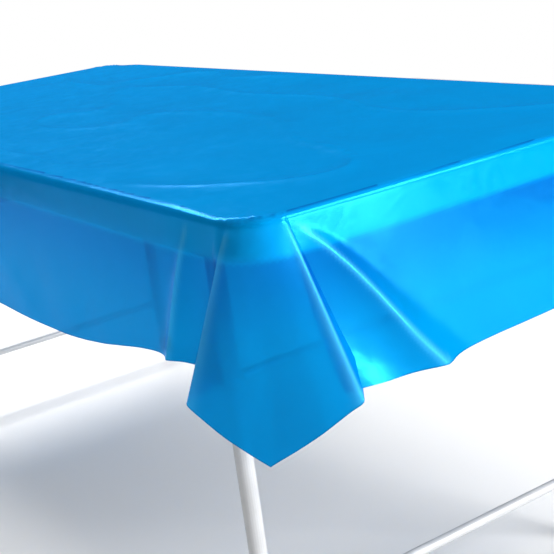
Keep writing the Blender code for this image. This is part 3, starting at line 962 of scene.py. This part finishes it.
class TABLECLOTH_OT_add_cap_ribs(bpy.types.Operator):
    """Adds the grip ribs round the plastic caps on the feet"""

    bl_idname = "tablecloth.add_cap_ribs"
    bl_label = "Add Cap Ribs"

    def execute(self, context):
        settings = context.scene.table_settings
        for end in ("front", "rear"):
            cap = f"foot_cap_{end}_left"
            low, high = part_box(cap)
            middle = (low + high) / 2
            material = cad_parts[cap].data.materials[0]
            sizes = {
                "Width": -2 * middle.x,
                "Length": 0.0,
                "Columns": 2,
                "Rows": 1,
                "Along": middle.y,
                "Height": middle.z - settings.rib_step,
                "Levels": 3,
                "Step": settings.rib_step,
                "Ring radius": (high.x - low.x) / 2,
                "Rim radius": settings.rib_radius,
            }
            name = f"cap_ribs_{end}"
            ribs = grown(name, ring_rows_tree(material), sizes)
            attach(ribs, f"leg_frame_{end}")
        return {"FINISHED"}


class TABLECLOTH_OT_finish_frame(bpy.types.Operator):
    """Paints the rails and the leg frames"""

    bl_idname = "tablecloth.finish_frame"
    bl_label = "Finish Steel Frame"

    def execute(self, context):
        settings = context.scene.table_settings
        tubes = nodes_starting("side_rail", "pivot_bar", "brace_bar", "foot_bar", "leg_")
        paint_nodes(tubes, paint_finish(settings.steel_colour))
        feet = plastic_finish("foot_rubber", settings.foot_colour, 400.0)
        paint_nodes(nodes_starting("foot_cap"), feet)
        return {"FINISHED"}


class TABLECLOTH_OT_finish_hardware(bpy.types.Operator):
    """Plates the braces, brackets, rivets and screws, and finishes the bushes"""

    bl_idname = "tablecloth.finish_hardware"
    bl_label = "Finish Hardware"

    def execute(self, context):
        plated = nodes_starting(
            "brace_strip", "brace_strut", "brace_bracket", "bracket_", "knuckle", "rail_screw"
        )
        paint_nodes(plated, zinc_finish())
        paint_nodes(
            nodes_starting("pivot_bush"), plastic_finish("nylon", (0.78, 0.78, 0.75), 300.0)
        )
        return {"FINISHED"}


# --- stage ---------------------------------------------------------------------------------


def add_area_light(name, place, target, size, power, colour=(1.0, 1.0, 1.0)):
    light = bpy.data.lights.new(name, "AREA")
    light.shape = "RECTANGLE"
    light.size, light.size_y = size
    light.energy = power
    light.color = colour
    lamp = bpy.data.objects.new(name, light)
    bpy.context.scene.collection.objects.link(lamp)
    lamp.location = place
    aim = Vector(target) - Vector(place)
    lamp.rotation_euler = aim.to_track_quat("-Z", "Y").to_euler()
    return lamp


CAMERA_RIGHT = Vector((0.81926, -0.55884, -0.12847))
CAMERA_UP = Vector((0.26307, 0.16723, 0.95017))
CAMERA_BACK = Vector((-0.50952, -0.81224, 0.28402))
CAMERA_PLACE = Vector((-1.02, -1.995, 1.05))
CAMERA_LENS = 78.0


class TABLECLOTH_OT_set_stage(bpy.types.Operator):
    """Adds the pale floor, the soft lights and the camera"""

    bl_idname = "tablecloth.set_stage"
    bl_label = "Set Stage"

    def execute(self, context):
        scene = context.scene
        settings = scene.studio_settings
        mesh = bpy.data.meshes.new("floor")
        size = FLOOR_HALF_SIZE
        mesh.from_pydata(
            [(-size, -size, 0), (size, -size, 0), (size, size, 0), (-size, size, 0)],
            [],
            [(0, 1, 2, 3)],
        )
        floor = bpy.data.objects.new("floor", mesh)
        scene.collection.objects.link(floor)
        finish = Finish("floor_paint")
        cloud = finish.noise(finish.place(), 1.5, 3.0)
        shade = finish.blend(
            cloud, rgba([c * 0.99 for c in settings.floor_colour]), rgba(settings.floor_colour)
        )
        mesh.materials.append(
            finish.done(
                finish.node(
                    "ShaderNodeBsdfPrincipled", {}, {"Base Color": shade, "Roughness": 0.8}
                )
            )
        )

        world = bpy.data.worlds.new("studio")
        scene.world = world
        sky = Finish("studio", world)
        sight = sky.node("ShaderNodeLightPath")
        upward = sky.node("ShaderNodeSeparateXYZ", {}, {0: sky.place()}, output="Z")
        soft = sky.spread(upward, 0.3, 0.9, 0.1 * settings.sky, 1.8 * settings.sky)
        bright = sight + (1 - sight) * soft
        white = (1.0, 1.0, 1.0, 1.0)
        sky.done(sky.node("ShaderNodeBackground", {}, {"Color": white, "Strength": bright}))

        add_area_light(
            "low", (1.05, -3.5, 0.40), (-0.2, -0.93, 0.6), (1.1, 0.5), settings.low_power
        )
        add_area_light(
            "key", (1.6, -3.6, 1.9), (-0.2, -0.9, 0.6), (1.6, 1.2), settings.key_power
        )
        add_area_light(
            "fill", (-3.2, -0.6, 1.8), (-0.4, -0.5, 0.6), (1.6, 1.2), settings.fill_power
        )
        add_area_light(
            "back", (0.5, 4.3, 4.4), (-0.1, 0.1, 0.7), (3.6, 1.6), settings.back_power
        )

        lens = bpy.data.cameras.new("camera")
        lens.lens = CAMERA_LENS
        lens.sensor_width = 36.0
        camera = bpy.data.objects.new("camera", lens)
        scene.collection.objects.link(camera)
        turn = Matrix((CAMERA_RIGHT, CAMERA_UP, CAMERA_BACK)).transposed().to_4x4()
        camera.matrix_world = Matrix.Translation(CAMERA_PLACE) @ turn
        scene.camera = camera
        scene.view_settings.view_transform = "Standard"
        return {"FINISHED"}


# --- panel and registration ----------------------------------------------------------------


class TABLECLOTH_PT_sidebar(bpy.types.Panel):
    """Lists the steps that build the table and its film"""

    bl_idname = "TABLECLOTH_PT_sidebar"
    bl_label = "Tablecloth"
    bl_space_type = "VIEW_3D"
    bl_region_type = "UI"
    bl_category = "Tablecloth"

    def draw(self, context):
        scene = context.scene
        groups = (scene.film_settings, scene.table_settings, scene.studio_settings)
        for group in groups:
            for name in type(group).__annotations__:
                self.layout.prop(group, name)
        for step in STEPS:
            self.layout.operator(step.bl_idname)


STEPS = (
    TABLECLOTH_OT_drape_film,
    TABLECLOTH_OT_finish_panel,
    TABLECLOTH_OT_add_pinch_rings,
    TABLECLOTH_OT_finish_frame,
    TABLECLOTH_OT_finish_hardware,
    TABLECLOTH_OT_add_cap_ribs,
    TABLECLOTH_OT_set_stage,
)
GROUPS = {
    "film_settings": FilmSettings,
    "table_settings": TableSettings,
    "studio_settings": StudioSettings,
}


def register():
    for kind in (*GROUPS.values(), *STEPS, TABLECLOTH_PT_sidebar):
        bpy.utils.register_class(kind)
    for name, kind in GROUPS.items():
        setattr(bpy.types.Scene, name, bpy.props.PointerProperty(type=kind))


def unregister():
    for name in GROUPS:
        delattr(bpy.types.Scene, name)
    for kind in reversed((*GROUPS.values(), *STEPS, TABLECLOTH_PT_sidebar)):
        bpy.utils.unregister_class(kind)


def main():
    register()
    bpy.ops.tablecloth.drape_film()
    bpy.ops.tablecloth.finish_panel()
    bpy.ops.tablecloth.add_pinch_rings()
    bpy.ops.tablecloth.finish_frame()
    bpy.ops.tablecloth.finish_hardware()
    bpy.ops.tablecloth.add_cap_ribs()
    bpy.ops.tablecloth.set_stage()


if __name__ == "__main__":
    main()
